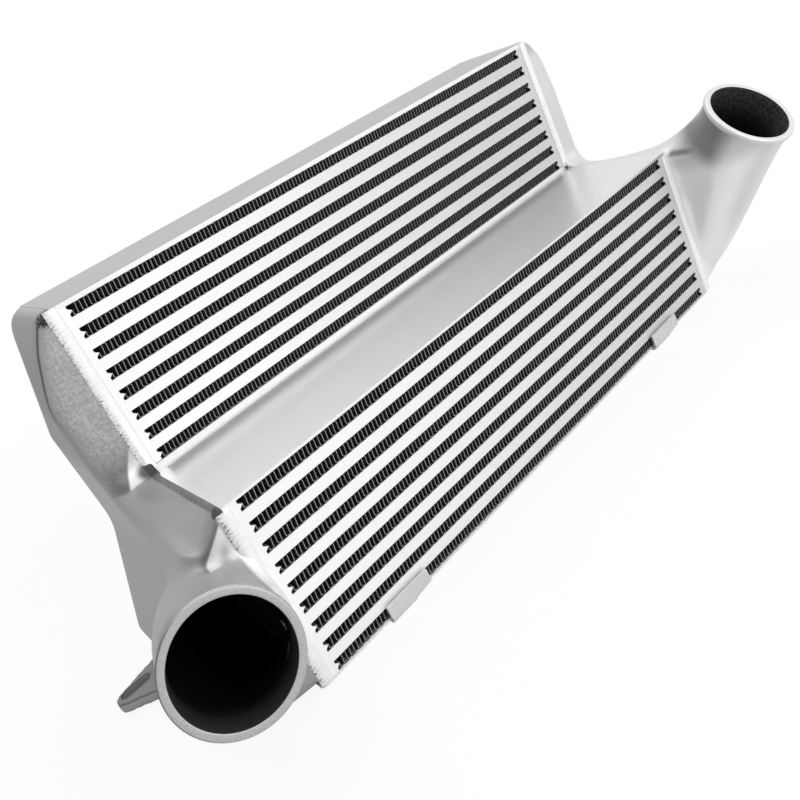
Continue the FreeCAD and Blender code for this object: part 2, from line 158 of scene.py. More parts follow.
class Finish:
    """One material, its nodes added through a single method."""

    def __init__(self, name):
        self.material = bpy.data.materials.new(name)
        self.material.use_nodes = True
        self.tree = self.material.node_tree
        self.tree.nodes.clear()

    def add(self, kind, settings, values, result=0):
        made = self.tree.nodes.new(kind)
        for key, setting in settings.items():
            if key == "stops":
                ramp = made.color_ramp
                while len(ramp.elements) < len(setting):
                    ramp.elements.new(0.5)
                for element, (place, level) in zip(ramp.elements, setting):
                    element.position = place
                    element.color = (level, level, level, 1)
            else:
                setattr(made, key, setting)
        for key, value in values.items():
            if isinstance(value, Value):
                self.tree.links.new(value.output, made.inputs[key])
            else:
                made.inputs[key].default_value = value
        return Value(self, made.outputs[result])

    def place(self):
        return self.add("ShaderNodeTexCoord", {}, {}, "Object")

    def axis(self, index):
        """One Object coordinate in millimetres."""
        return self.add("ShaderNodeSeparateXYZ", {}, {0: self.place()}, index) * 1000.0

    def along(self, origin, direction):
        """Distance in millimetres from a point, measured along a direction."""
        moved = self.add("ShaderNodeVectorMath", {"operation": "SUBTRACT"}, {0: self.place(), 1: origin})
        return self.add("ShaderNodeVectorMath", {"operation": "DOT_PRODUCT"},
                        {0: moved, 1: direction}, "Value") * 1000.0

    def near(self, point, full, none):
        """1 near a point, 0 beyond a distance; millimetres."""
        away = self.add("ShaderNodeVectorMath", {"operation": "DISTANCE"},
                        {0: self.place(), 1: point}, "Value") * 1000.0
        return self.fall(away, full, none)

    def rise(self, value, low, high):
        """0 below one value, 1 above the other, smooth between."""
        values = {"Value": value, "From Min": low, "From Max": high}
        return self.add("ShaderNodeMapRange", {"interpolation_type": "SMOOTHSTEP"}, values)

    def fall(self, value, low, high):
        """1 below one value, 0 above the other, smooth between."""
        return 1.0 - self.rise(value, low, high)

    def within(self, value, start, full, last, end):
        """1 between the two middle values, 0 outside the outer ones."""
        return self.rise(value, start, full) * self.fall(value, last, end)

    def line(self, value, at, full, none):
        """1 where the value is reached, 0 beyond a distance from there."""
        return self.fall(self.size_of(value - at), full, none)

    def size_of(self, value):
        return self.add("ShaderNodeMath", {"operation": "ABSOLUTE"}, {0: value})

    def noise(self, vector, scale, detail=3.0, roughness=0.55):
        values = {"Vector": vector, "Scale": scale, "Detail": detail, "Roughness": roughness}
        return self.add("ShaderNodeTexNoise", {"noise_dimensions": "3D"}, values, "Fac")

    def ramp(self, factor, stops):
        return self.add("ShaderNodeValToRGB", {"stops": stops}, {"Fac": factor})

    def blend(self, factor, first, second):
        settings = {"data_type": "RGBA", "blend_type": "MIX"}
        return self.add("ShaderNodeMix", settings, {0: factor, 6: first, 7: second}, 2)

    def bump(self, height, distance, strength=1.0):
        values = {"Height": height, "Distance": distance, "Strength": strength}
        return self.add("ShaderNodeBump", {}, values)

    def attribute(self, name):
        return self.add("ShaderNodeAttribute", {"attribute_name": name}, {}, "Fac")

    def metal(self, values):
        skin = self.add("ShaderNodeBsdfPrincipled", {}, values)
        output = self.tree.nodes.new("ShaderNodeOutputMaterial")
        self.tree.links.new(skin.output, output.inputs["Surface"])
        return self.material


def grey(level):
    return (level, level * 1.002, level * 1.008, 1)


def spot_of(cast, side):
    """Millimetres outward of the core's end, ahead of the lug slots and above the underside."""
    return cast.axis(0) * side - CORE_END * 1000, cast.axis(1) * -1.0, cast.axis(2)


def near_dome(cast, colour, spot):
    """Painted shade, a painted highlight on a facet, and painted shade along the parting crease, the flank and the
    side of the near tank's upper part.
    """
    out, ahead, level = spot
    # painted shade of the step on the face beyond a slanting edge, and a painted highlight on the facet before it
    edge = 11.6 + (153.0 - level) * 0.625
    shade = cast.rise(out - edge, -0.3, 1.5) * cast.fall(out, 22.0, 36.0)
    shade = shade * cast.within(level, 139.0, 142.0, 142.0, 176.0) * cast.within(ahead, 22.0, 27.0, 40.0, 60.0)
    colour = cast.blend(shade * 0.8, colour, grey(0.08))
    facet_highlight = cast.rise(edge - out, -0.4, 0.8) * cast.within(level, 140.2, 141.6, 146.0, 175.0)
    facet_highlight = facet_highlight * cast.within(ahead, 26.0, 27.5, 34.0, 36.0)
    colour = cast.blend(facet_highlight * 0.9, colour, grey(0.74))
    # painted shade along the crease, on the flank and on the dome's side
    crease = cast.line(ahead, 22.6, 0.3, 1.5) * cast.rise(level, 185.0, 232.0) * cast.rise(out, 3.0, 5.0)
    colour = cast.blend(crease * 0.9, colour, grey(0.02))
    flank = cast.line(ahead, 20.0, 1.0, 9.0) * cast.rise(level, 140.0, 160.0)
    colour = cast.blend(flank * 0.3, colour, grey(0.12))
    side = cast.fall(ahead, 12.0, 22.0) * cast.rise(level, 150.0, 175.0) * cast.rise(out, 3.0, 9.0)
    return cast.blend(side * 0.5, colour, grey(0.14))


def near_step(cast, colour, spot, speckle):
    """Painted shade in the rough groove along the step plate, black at both ends, and the cracks atop the upper bead.
    """
    out, ahead, level = spot
    # painted shade in the rough groove
    groove = cast.fall(out, 4.2, 5.0) * cast.within(level, 137.6, 138.8, 147.0, 152.0)
    groove = groove * cast.rise(ahead, 27.9, 28.6)
    colour = cast.blend(groove, colour, cast.blend(speckle, grey(0.05), grey(0.26)))
    # painted shade, black, at the groove's two ends
    start = cast.near((-CORE_END - 0.003, -0.031, 0.1435), 4.0, 10.0)
    colour = cast.blend(start * 0.9, colour, grey(0.015))
    stop = cast.near((-CORE_END - 0.003, FRONT + 0.002, 0.1395), 4.2, 5.6)
    colour = cast.blend(stop, colour, grey(0.006))
    crack = cast.near((-CORE_END - 0.006, -0.0240, 0.2635), 4.5, 7.5) * cast.rise(speckle, 0.40, 0.50)
    return cast.blend(crack, colour, grey(0.01))


def near_front(cast, colour, spot):
    """Where the step rolls over into the front: painted shade as a dark line along the fold, a painted highlight on
    the ridge past it, and smears of weld.
    """
    out, ahead, level = spot
    corner = cast.within(ahead, 120.0, 130.0, 137.6, 139.0)
    corner = corner * cast.fall(out, 22.0, 27.0) * cast.rise(level, 108.0, 116.0)
    # distance past the fold between the sloping step and the front
    past = (138.0 - out - level) * 0.71
    # painted shade along the fold, and a painted highlight on the rounded ridge past it
    colour = cast.blend(cast.within(past, -5.0, -0.8, -0.3, 0.8) * corner * 0.7, colour, grey(0.10))
    colour = cast.blend(cast.within(past, -0.2, 1.2, 3.5, 8.5) * corner * 0.8, colour, grey(0.80))
    splash = cast.rise(past, -0.2, 1.2) * cast.fall(out, 4.0, 12.0) * cast.rise(level, 100.0, 120.0)
    splash = splash * cast.within(ahead, 130.0, 134.0, 137.6, 139.0)
    colour = cast.blend(splash * 0.9, colour, grey(0.86))
    smear = cast.fall(out, 3.5, 6.5) * cast.rise(ahead, 131.0, 134.0) * cast.fall(level, 134.0, 137.0)
    return cast.blend(smear, colour, grey(0.84))


def near_neck(cast, colour, mouth, up, grain):
    """The grainy cut rim, and the shade that the photograph has on the neck's outer flank."""
    cut = cast.blend(cast.rise(grain, 0.35, 0.65), grey(0.34), grey(0.44))
    colour = cast.blend(cast.rise(up, -5.6, -5.0), colour, cut)
    flank = cast.rise(cast.along(mouth, (-0.94, 0.266, 0.208)), 12.0, 32.0)
    flank = flank * cast.within(up, -32.0, -12.0, -0.6, -0.1)
    return cast.blend(flank * 0.85, colour, grey(0.05))


def left_cast_finish():
    """Sand cast and tumbled: mottled in front, smooth behind, painted darker overall than the far tank as shade, with
    painted shade and highlights and smears of weld.
    """
    cast = Finish("near_cast_skin")
    place = cast.place()
    spot = spot_of(cast, -1.0)
    out, ahead, level = spot
    speckle = cast.noise(place, 520.0, 4.0, 0.62)
    cloud = cast.noise(place, 42.0, 3.0)
    grain = cast.noise(place, 1500.0, 2.0)
    mottle = cast.ramp(speckle * 0.8 + cloud * 0.2, [(0.38, 0.0), (0.62, 1.0)])
    face = cast.within(ahead, 24.0, 27.0, 28.2, 30.0) * cast.rise(level, 140.0, 146.0)
    # the whole near tank is painted darker than the far one, a painted shade
    smooth = cast.blend(cloud, grey(0.30), grey(0.37))
    colour = cast.blend(face, smooth, cast.blend(mottle, grey(0.27), grey(0.41)))
    colour = near_dome(cast, colour, spot)
    colour = near_step(cast, colour, spot, speckle)
    colour = near_front(cast, colour, spot)
    mouth, axis = neck_line(LEFT_NECK, -1)
    up = cast.along(mouth, axis)
    colour = near_neck(cast, colour, mouth, up, grain)
    # painted shade along the lug's lower edge
    lug_edge_shade = cast.line(level, 7.4, 0.2, 1.1) * cast.rise(out, 50.0, 54.0)
    colour = cast.blend(lug_edge_shade * 0.7, colour, grey(0.03))
    # painted shade in the shut-in hollow, darkest deep in the bore
    hollow = cast.blend(cast.rise(up * -1.0, 6.0, 46.0), cast.blend(speckle, grey(0.020), grey(0.055)), grey(0.006))
    colour = cast.blend(cast.attribute("inside"), colour, hollow)
    normal = cast.bump(speckle * 0.7 + grain * 0.3, 0.00035, 0.5)
    return cast.metal({"Base Color": colour, "Metallic": 0.35, "Roughness": 0.40 + cloud * 0.14,
                       "Normal": normal})


def right_cast_finish():
    """The far tank: smooth and light, lightest below and at its side, as it is lit in the photograph,
    with the shade of the neck's flank and of the saddle's crease."""
    cast = Finish("far_cast_skin")
    place = cast.place()
    out, ahead, level = spot_of(cast, 1.0)
    speckle = cast.noise(place, 420.0, 4.0, 0.6)
    cloud = cast.noise(place, 30.0, 3.0)
    colour = cast.blend(speckle * 0.3 + cloud * 0.7, grey(0.58), grey(0.66))
    colour = cast.blend(cast.fall(level, 25.0, 78.0) * 0.8, colour, grey(0.86))
    side = cast.fall(out, 10.0, 24.0) * cast.rise(ahead, 137.0, 142.0) * cast.fall(level, 112.0, 130.0)
    colour = cast.blend(side * 0.7, colour, grey(0.92))
    mouth, axis = neck_line(RIGHT_NECK, 1)
    up = cast.along(mouth, axis)
    flank = cast.rise(cast.along(mouth, (-0.86, 0.37, 0.35)), 25.0, 35.0)
    flank = flank * cast.within(up, -46.0, -28.0, -6.5, -5.0)
    colour = cast.blend(flank * 0.8, colour, grey(0.12))
    crease = cast.line(level, 135.5, 0.4, 4.0) * cast.fall(out, 8.0, 22.0)
    crease = crease * cast.within(ahead, 137.0, 140.0, 152.0, 166.0)
    colour = cast.blend(crease * 0.7, colour, grey(0.06))
    blotch = cast.ramp(speckle, [(0.40, 0.0), (0.66, 1.0)])
    # painted shade in the shut-in hollow, darkest deep in the bore
    hollow = cast.blend(cast.rise(up * -1.0, 8.0, 46.0), cast.blend(blotch, grey(0.03), grey(0.13)), grey(0.008))
    colour = cast.blend(cast.attribute("inside"), colour, hollow)
    normal = cast.bump(speckle, 0.0003, 0.3)
    return cast.metal({"Base Color": colour, "Metallic": 0.35, "Roughness": 0.40 + cloud * 0.12,
                       "Normal": normal})


def sheet_finish(name, level, metallic, rough):
    """Plain rolled or extruded metal."""
    sheet = Finish(name)
    haze = sheet.noise(sheet.place(), 14.0, 2.0)
    colour = sheet.blend(haze, grey(level * 0.97), grey(level * 1.03))
    return sheet.metal({"Base Color": colour, "Metallic": metallic, "Roughness": rough})


def bar_finish(name, front, rear):
    """Bright bars, darker towards the far end, with painted shade in the depth of the rows and on their ends in the
    tanks.
    """
    bar = Finish(name)
    deep = bar.axis(1)
    haze = bar.noise(bar.place(), 20.0, 2.0)
    far = bar.rise(bar.axis(0) + haze * 40.0, -260.0, 280.0)
    colour = bar.blend(far, grey(0.88), grey(0.56))
    # painted shade on the ends inside the tanks and behind the front and rear faces
    ends = bar.rise(bar.size_of(bar.axis(0)), CORE_END * 1000 - 0.4, CORE_END * 1000 - 0.1)
    colour = bar.blend(ends, colour, grey(0.01))
    behind = bar.rise(deep - front * 1000, 0.15, 0.7) * bar.rise(rear * 1000 - deep, 0.15, 0.7)
    colour = bar.blend(behind, colour, grey(0.05))
    return bar.metal({"Base Color": colour, "Metallic": 0.15, "Roughness": 0.42})


def top_band_finish():
    """The top plate: its top face painted grey as shade, its front edge bright."""
    band = Finish("top_band")
    # painted shade on the top face
    above = band.rise(band.axis(2), CORE_TOP * 1000 - 0.4, CORE_TOP * 1000 - 0.1)
    haze = band.noise(band.place(), 14.0, 2.0)
    colour = band.blend(above, grey(0.78), band.blend(haze, grey(0.33), grey(0.38)))
    return band.metal({"Base Color": colour, "Metallic": 0.35, "Roughness": 0.45})


def tread_finish():
    """The step plate: half gloss, darker far off, bright where the weld runs over its left end."""
    tread = Finish("tread_half_gloss")
    out = tread.axis(0) * -1.0 - CORE_END * 1000
    smear = tread.rise(out, -7.0, -1.5) * tread.rise(tread.axis(1), -70.0, -38.0)
    colour = tread.blend(tread.rise(out, -460.0, 0.0), grey(0.68), grey(0.86))
    colour = tread.blend(smear, colour, grey(0.95))
    return tread.metal({"Base Color": colour, "Metallic": 0.72, "Roughness": 0.30})


def base_finish():
    """The upper block's base sheet, with the fine dark joint above it."""
    base = Finish("base_sheet")
    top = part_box("upper_block_base")[1].z * 1000
    joint = base.rise(base.axis(2), top - 0.55, top - 0.35)
    colour = base.blend(joint, grey(0.74), grey(0.10))
    return base.metal({"Base Color": colour, "Metallic": 0.2, "Roughness": 0.4})


def fin_finish():
    """Thin folded sheet: its cut edge lit in front and at the rear, and painted shade on the faces between the folds.
    """
    fin = Finish("fin_sheet")
    edge = fin.attribute("edge")
    tone = fin.noise(fin.place(), 260.0, 2.0)
    lit = fin.blend(tone, grey(0.24), grey(0.40))
    # painted shade on the sheet's faces; its cut edges keep the lit grey
    colour = fin.blend(edge, grey(0.045), lit)
    return fin.metal({"Base Color": colour, "Metallic": 0.2, "Roughness": 0.55})


def weld_finish():
    """Bright bead with painted shade as dark ticks in its grooves on the tank's side."""
    weld = Finish("weld_ripple")
    groove = weld.ramp(weld.attribute("crest"), [(0.30, 1.0), (0.80, 0.0)])
    toe = weld.rise(weld.size_of(weld.axis(0)) - CORE_END * 1000, 1.0, 4.4)
    patchy = weld.ramp(weld.noise(weld.place(), 110.0, 3.0), [(0.38, 0.2), (0.58, 1.0)])
    # painted shade in the ripple grooves, strongest on the tank's side
    colour = weld.blend(groove * patchy * (0.12 + toe * 0.88), grey(0.86), grey(0.10))
    return weld.metal({"Base Color": colour, "Metallic": 0.3, "Roughness": 0.34})


# Geometry Nodes trees
class Tree:
    """A Geometry Nodes tree that is built in Python and run once."""

    def __init__(self, name, sizes):
        self.group = bpy.data.node_groups.new(name, "GeometryNodeTree")
        face = self.group.interface
        face.new_socket("Geometry", in_out="OUTPUT", socket_type="NodeSocketGeometry")
        face.new_socket("Base", in_out="INPUT", socket_type="NodeSocketGeometry")
        self.sizes = {}
        for label, value in sizes.items():
            kind = "NodeSocketInt" if isinstance(value, int) else "NodeSocketFloat"
            made = face.new_socket(label, in_out="INPUT", socket_type=kind)
            self.sizes[label] = (made.identifier, value)
        self.entry = self.group.nodes.new("NodeGroupInput")
        self.exit = self.group.nodes.new("NodeGroupOutput")

    def base(self):
        return self.entry.outputs["Base"]

    def size(self, label):
        return self.entry.outputs[label]

    def add(self, kind, settings=None, values=None, result=0):
        made = self.group.nodes.new(kind)
        for key, setting in (settings or {}).items():
            setattr(made, key, setting)
        for key, value in (values or {}).items():
            if isinstance(value, bpy.types.NodeSocket):
                self.group.links.new(value, made.inputs[key])
            else:
                made.inputs[key].default_value = value
        return made.outputs[result]

    def math(self, operation, *values):
        return self.add("ShaderNodeMath", {"operation": operation}, dict(enumerate(values)))

    def vector(self, x, y, z):
        return self.add("ShaderNodeCombineXYZ", {}, {0: x, 1: y, 2: z})

    def split(self, vector):
        made = self.group.nodes.new("ShaderNodeSeparateXYZ")
        self.group.links.new(vector, made.inputs[0])
        return made.outputs[0], made.outputs[1], made.outputs[2]

    def place(self):
        return self.add("GeometryNodeInputPosition")

    def keep(self, geometry, name, value, domain="POINT"):
        """Stores a float on the geometry under a name."""
        settings = {"data_type": "FLOAT", "domain": domain}
        return self.add("GeometryNodeStoreNamedAttribute", settings,
                        {"Geometry": geometry, "Name": name, "Value": value})

    def read(self, name):
        return self.add("GeometryNodeInputNamedAttribute", {"data_type": "FLOAT"}, {"Name": name})

    def run(self, geometry, material, base=None):
        """Ends the tree, evaluates it and returns its plain mesh."""
        geometry = self.add("GeometryNodeRealizeInstances", {}, {"Geometry": geometry})
        geometry = self.add("GeometryNodeSetMaterial", {}, {"Geometry": geometry, "Material": material})
        self.group.links.new(geometry, self.exit.inputs[0])
        start = base or bpy.data.meshes.new(self.group.name)
        holder = new_piece(self.group.name + "_holder", start)
        modifier = holder.modifiers.new("tree", "NODES")
        modifier.node_group = self.group
        for identifier, value in self.sizes.values():
            modifier[identifier] = value
        return plain_mesh(holder)


# Pieces
def new_piece(name, mesh):
    piece = bpy.data.objects.new(name, mesh)
    bpy.context.scene.collection.objects.link(piece)
    return piece


def plain_mesh(holder, helpers=()):
    """The holder's mesh with its modifiers applied; the holder and its helpers are taken away."""
    bpy.context.view_layer.update()
    evaluated = holder.evaluated_get(bpy.context.evaluated_depsgraph_get())
    mesh = bpy.data.meshes.new_from_object(evaluated)
    holder.modifiers.clear()
    for thing in [holder, *helpers]:
        bpy.data.objects.remove(thing)
    return mesh


def finish_piece(piece, slot, *replaced):
    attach(piece, "root")
    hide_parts(*replaced)
    return piece


def paint(mesh, material):
    mesh.materials.clear()
    mesh.materials.append(material)


def merged_copy(node, name):
    """Copy of a CAD node with its loose triangles joined."""
    mesh = nodes[node].data.copy()
    mesh.name = name
    shell = bmesh.new()
    shell.from_mesh(mesh)
    bmesh.ops.remove_doubles(shell, verts=shell.verts, dist=0.004 * MM)
    shell.to_mesh(mesh)
    shell.free()
    return mesh


def fin_strip(name, size, material):
    """One fin row centred on its own middle: a sheet folded along X that sways in depth."""
    tree = Tree(name, {"Length": size.x, "Depth": size.y, "Height": size.z, "Pitch": FIN_PITCH,
                       "Sheet": FIN_SHEET, "Sway": FIN_SWAY, "Bend": FIN_BEND, "Samples": 16, "Lengths": 7})
    wave = tree.math("MULTIPLY", tree.size("Pitch"), 2.0)
    waves = tree.math("ROUND", tree.math("DIVIDE", tree.size("Length"), wave))
    count = tree.math("ADD", tree.math("MULTIPLY", waves, tree.size("Samples")), 1.0)
    sheet = tree.add("GeometryNodeMeshGrid", {}, {
        "Size X": tree.size("Length"), "Size Y": tree.size("Depth"),
        "Vertices X": count, "Vertices Y": tree.size("Lengths")})
    x, y = tree.split(tree.place())[:2]
    turn = tree.math("MULTIPLY", tree.math("DIVIDE", x, tree.size("Length")), waves)
    around = tree.math("MULTIPLY", turn, 2 * math.pi)
    # the sheet climbs steeply in each wall and runs level in each crest
    climb = tree.math("MULTIPLY", tree.math("SINE", around), 1.7)
    climb = tree.math("MAXIMUM", tree.math("MINIMUM", climb, 1.0), -1.0)
    inner_height = tree.math("SUBTRACT", tree.size("Height"), tree.size("Sheet"))
    level = tree.math("MULTIPLY", climb, tree.math("MULTIPLY", inner_height, 0.5))
    lag = tree.math("MULTIPLY", tree.math("SINE", tree.math("MULTIPLY", around, 2.0)), -1 / (4 * math.pi))
    span = tree.math("DIVIDE", tree.size("Length"), waves)
    run = tree.math("MULTIPLY", tree.math("ADD", turn, lag), span)
    bend = tree.math("MULTIPLY", tree.math("SINE", tree.math("MULTIPLY", climb, math.pi)), tree.size("Bend"))
    deep = tree.math("DIVIDE", y, tree.size("Depth"))
    sway = tree.math("MULTIPLY", tree.math("COSINE", tree.math("MULTIPLY", deep, 3 * math.pi)), tree.size("Sway"))
    place = tree.vector(tree.math("ADD", tree.math("ADD", run, bend), sway), y, level)
    sheet = tree.add("GeometryNodeSetPosition", {}, {"Geometry": sheet, "Position": place})
    sunk = tree.add("ShaderNodeVectorMath", {"operation": "SCALE"}, {
        0: tree.add("GeometryNodeInputNormal"), "Scale": tree.math("MULTIPLY", tree.size("Sheet"), -0.5)})
    sheet = tree.add("GeometryNodeSetPosition", {}, {"Geometry": sheet, "Offset": sunk})
    thick = tree.group.nodes.new("GeometryNodeExtrudeMesh")
    thick.mode = "FACES"
    tree.group.links.new(sheet, thick.inputs["Mesh"])
    tree.group.links.new(tree.size("Sheet"), thick.inputs["Offset Scale"])
    thick.inputs["Individual"].default_value = False
    solid = tree.keep(thick.outputs["Mesh"], "edge", thick.outputs["Side"], "FACE")
    back = tree.add("GeometryNodeFlipFaces", {}, {"Mesh": sheet})
    both = tree.group.nodes.new("GeometryNodeJoinGeometry")
    tree.group.links.new(solid, both.inputs[0])
    tree.group.links.new(back, both.inputs[0])
    return tree.run(both.outputs[0], material)


def build_fin_rows():
    material = fin_finish()
    for block, rows in (("lower", 9), ("upper", 8)):
        low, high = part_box(block + "_fin_row_1")
        size = high - low
        strip = fin_strip(block + "_fin_strip", size, material)
        for number in range(1, rows + 1):
            node = block + "_fin_row_" + str(number)
            low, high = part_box(node)
            mesh = strip.copy()
            mesh.transform(Matrix.Translation((low + high) / 2))
            finish_piece(new_piece(node + "_folds", mesh), "fin_strip", node)


def weld_tree(name, width, height, ripple, side):
    """Rippled bead along a polyline in the YZ plane, drawn first in the XY plane."""
    tree = Tree(name, {"Width": width, "Height": height, "Ripple": ripple, "Step": WELD_STEP,
                       "Corner": WELD_CORNER, "Spacing": 0.45 * MM, "Taper": WELD_TAPER})
    rail = tree.add("GeometryNodeMeshToCurve", {}, {"Mesh": tree.base()})
    rail = tree.add("GeometryNodeFilletCurve", {}, {"Curve": rail, "Radius": tree.size("Corner")})
    rail = tree.add("GeometryNodeResampleCurve", {"mode": "LENGTH"},
                    {"Curve": rail, "Length": tree.size("Spacing")})
    rail = tree.keep(rail, "along", tree.add("GeometryNodeSplineParameter", {}, {}, "Length"))
    share = tree.add("GeometryNodeSplineParameter", {}, {}, "Factor")
    whole = tree.add("GeometryNodeSplineLength", {}, {}, "Length")
    to_end = tree.math("MULTIPLY", tree.math("MINIMUM", share, tree.math("SUBTRACT", 1.0, share)), whole)
    taper = tree.math("POWER", tree.math("MINIMUM", tree.math("DIVIDE", to_end, tree.size("Taper")), 1.0), 0.5)
    rail = tree.add("GeometryNodeSetCurveRadius", {}, {
        "Curve": rail, "Radius": tree.math("MAXIMUM", taper, 0.25)})
    ring = tree.add("GeometryNodeCurvePrimitiveCircle", {}, {"Resolution": 18, "Radius": 1.0})
    across, lift = tree.split(tree.place())[:2]
    ring = tree.keep(ring, "across", lift)
    across = tree.math("MAXIMUM", across, -0.25)
    flat = tree.vector(tree.math("MULTIPLY", across, tree.size("Height")),
                       tree.math("MULTIPLY", lift, tree.math("MULTIPLY", tree.size("Width"), 0.5)), 0.0)
    ring = tree.add("GeometryNodeSetPosition", {}, {"Geometry": ring, "Position": flat})
    bead = tree.add("GeometryNodeCurveToMesh", {},
                    {"Curve": rail, "Profile Curve": ring, "Fill Caps": True})
    bow = tree.math("MULTIPLY", tree.math("MULTIPLY", tree.read("across"), tree.read("across")), 0.55)
    drift = tree.add("ShaderNodeTexNoise", {"noise_dimensions": "1D"}, {
        "W": tree.math("MULTIPLY", tree.read("along"), 140.0), "Detail": 1.0})
    bow = tree.math("ADD", bow, tree.math("MULTIPLY", drift, 2.2))
    phase = tree.math("ADD", tree.math("DIVIDE", tree.read("along"), tree.size("Step")), bow)
    crest = tree.math("POWER", tree.math("SINE", tree.math("MULTIPLY", tree.math("FRACT", phase), math.pi)), 0.6)
    bead = tree.keep(bead, "crest", crest)
    push = tree.math("MULTIPLY", tree.math("SUBTRACT", tree.read("crest"), 1.0), tree.size("Ripple"))
    offset = tree.add("ShaderNodeVectorMath", {"operation": "SCALE"},
                      {0: tree.add("GeometryNodeInputNormal"), "Scale": push})
    bead = tree.add("GeometryNodeSetPosition", {}, {"Geometry": bead, "Offset": offset})
    bead = tree.add("GeometryNodeTransform", {}, {
        "Geometry": bead, "Translation": (side * (CORE_END + WELD_OUT), 0.0, 0.0),
        "Rotation": (math.pi / 2, 0.0, math.pi / 2)})
    return tree, bead


def polyline(name, places):
    points = [(across, along, 0.0) for across, along in places]
    mesh = bpy.data.meshes.new(name)
    mesh.from_pydata(points, [(i, i + 1) for i in range(len(points) - 1)], [])
    return mesh


def joined(name, meshes):
    whole = bmesh.new()
    for mesh in meshes:
        whole.from_mesh(mesh)
    result = bpy.data.meshes.new(name)
    whole.to_mesh(result)
    whole.free()
    return result


def build_weld_beads():
    """Two runs in front of the lower block, one round the rear, one in front of the upper block."""
    material = weld_finish()
    low = WELD_HEIGHT - 0.1 * MM
    for word, side, width, proud, ripple, hidden in (
            ("left", -1, WELD_WIDTH, NEAR_WELD_HEIGHT, WELD_RIPPLE, NEAR_SEAM_HIDDEN),
            ("right", 1, FAR_WELD_SHARE * WELD_WIDTH, low, FAR_RIPPLE_SHARE * WELD_RIPPLE, FAR_SEAM_JOINT)):
        runs = [
            (proud, [(FRONT, STEP_LEVEL - 2.5 * MM), (FRONT, hidden[0])]),
            (proud, [(FRONT, hidden[1]), (FRONT, WELD_CORNER)]),
            (low, [(FRONT, 1.5 * WELD_CORNER), (FRONT, 0.0), (REAR, 0.0), (REAR, CORE_TOP - 6 * MM)]),
            (proud, [(STEP_FRONT, CORE_TOP - 0.5 * MM), (STEP_FRONT, STEP_LEVEL + 2.5 * MM)]),
        ]
        made = []
        for number, (height, run) in enumerate(runs):
            tree, bead = weld_tree(word + "_weld_" + str(number), width, height, ripple, side)
            made.append(tree.run(bead, material, polyline("weld_path", run)))
        mesh = joined(word + "_weld_beads", made)
        paint(mesh, material)
        mesh.shade_smooth()
        finish_piece(new_piece(word + "_weld_beads", mesh), "weld_bead", word + "_weld_bead")


def rim_profile(start):
    """Half section of the straight neck and its bead: (radius, distance behind the mouth)."""
    soft = 0.9 * MM
    roll = 1.75 * MM
    points = [(NECK_RADIUS, start), (NECK_RADIUS, BEAD_LENGTH + 1.2 * MM),
              (NECK_RADIUS + 0.35 * MM, BEAD_LENGTH + 0.35 * MM)]
    for behind, first in ((BEAD_LENGTH - roll, 90), (roll, 0)):
        for step in range(7):
            turn = math.radians(first - step * 15)
            points.append((BEAD_RADIUS - roll + roll * math.cos(turn), behind + roll * math.sin(turn)))
    for step in range(5):
        turn = math.radians(90 + step * 22.5)
        points.append((BORE_RADIUS + soft * (1 + math.cos(turn)), soft * (1 - math.sin(turn))))
    points.append((BORE_RADIUS, BEAD_LENGTH))
    points.append((BORE_RADIUS, start))
    return points


def lathe(name, profile, mouth, axis, count):
    """Turned ring round an axis; its points lie behind the mouth."""
    across = Vector((0, 0, 1)).cross(axis).normalized()
    upward = axis.cross(across)
    points = []
    faces = []
    size = len(profile)
    for i in range(count):
        turn = 2 * math.pi * i / count
        out = across * math.cos(turn) + upward * math.sin(turn)
        points += [mouth - axis * behind + out * radius for radius, behind in profile]
        for j in range(size - 1):
            a = i * size + j
            b = (i + 1) % count * size + j
            faces.append((a, b, b + 1, a + 1))
    mesh = bpy.data.meshes.new(name)
    mesh.from_pydata(points, [], faces)
    shell = bmesh.new()
    shell.from_mesh(mesh)
    bmesh.ops.recalc_face_normals(shell, faces=shell.faces)
    shell.to_mesh(mesh)
    shell.free()
    mesh.shade_smooth()
    return mesh


def points_of(mesh):
    co = np.empty(len(mesh.vertices) * 3)
    mesh.vertices.foreach_get("co", co)
    return co.reshape(-1, 3)


def put_points(mesh, co):
    mesh.vertices.foreach_set("co", co.ravel())
    mesh.update()


def ease(value, low, high):
    """0 below one value, 1 above the other, smooth between."""
    share = np.clip((value - low) / (high - low), 0, 1)
    return share * share * (3 - 2 * share)


def radial_distance(co, mouth, axis):
    """Distance of each point from a neck's axis."""
    offset = co - np.array(mouth)
    along = offset @ np.array(axis)
    return np.linalg.norm(offset - along[:, None] * np.array(axis), axis=1)


def remeshed(mesh, name):
    holder = new_piece(name + "_holder", mesh)
    remesh = holder.modifiers.new("skin", "REMESH")
    remesh.mode = "VOXEL"
    remesh.voxel_size = CAST_CELL
    smooth = holder.modifiers.new("tumbled", "SMOOTH")
    smooth.factor = 0.5
    smooth.iterations = 4
    return plain_mesh(holder)


def soften(mesh, weights, iterations):
    """Smooths a mesh where the weights say."""
    holder = new_piece("soften_holder", mesh)
    group = holder.vertex_groups.new(name="soft")
    for index in np.nonzero(weights > 0.01)[0]:
        group.add([int(index)], float(weights[index]), "REPLACE")
    smooth = holder.modifiers.new("soft", "SMOOTH")
    smooth.factor = 0.6
    smooth.iterations = iterations
    smooth.vertex_group = "soft"
    return plain_mesh(holder)


def near_neck_root(mesh, mouth, axis):
    """Weight from 0 to 1 round the line where the neck meets the tank."""
    co = points_of(mesh)
    away = radial_distance(co, mouth, axis)
    reach = 1 - np.clip(np.abs(away - 40 * MM) / (26 * MM), 0, 1)
    level = 1 - np.clip(np.abs(co[:, 1] - FRONT + 2 * MM) / (34 * MM), 0, 1)
    clear = np.clip((np.abs(co[:, 0]) - CORE_END - 0.5 * MM) / (4 * MM), 0, 1)
    return np.clip(3 * reach * level, 0, 1) * clear


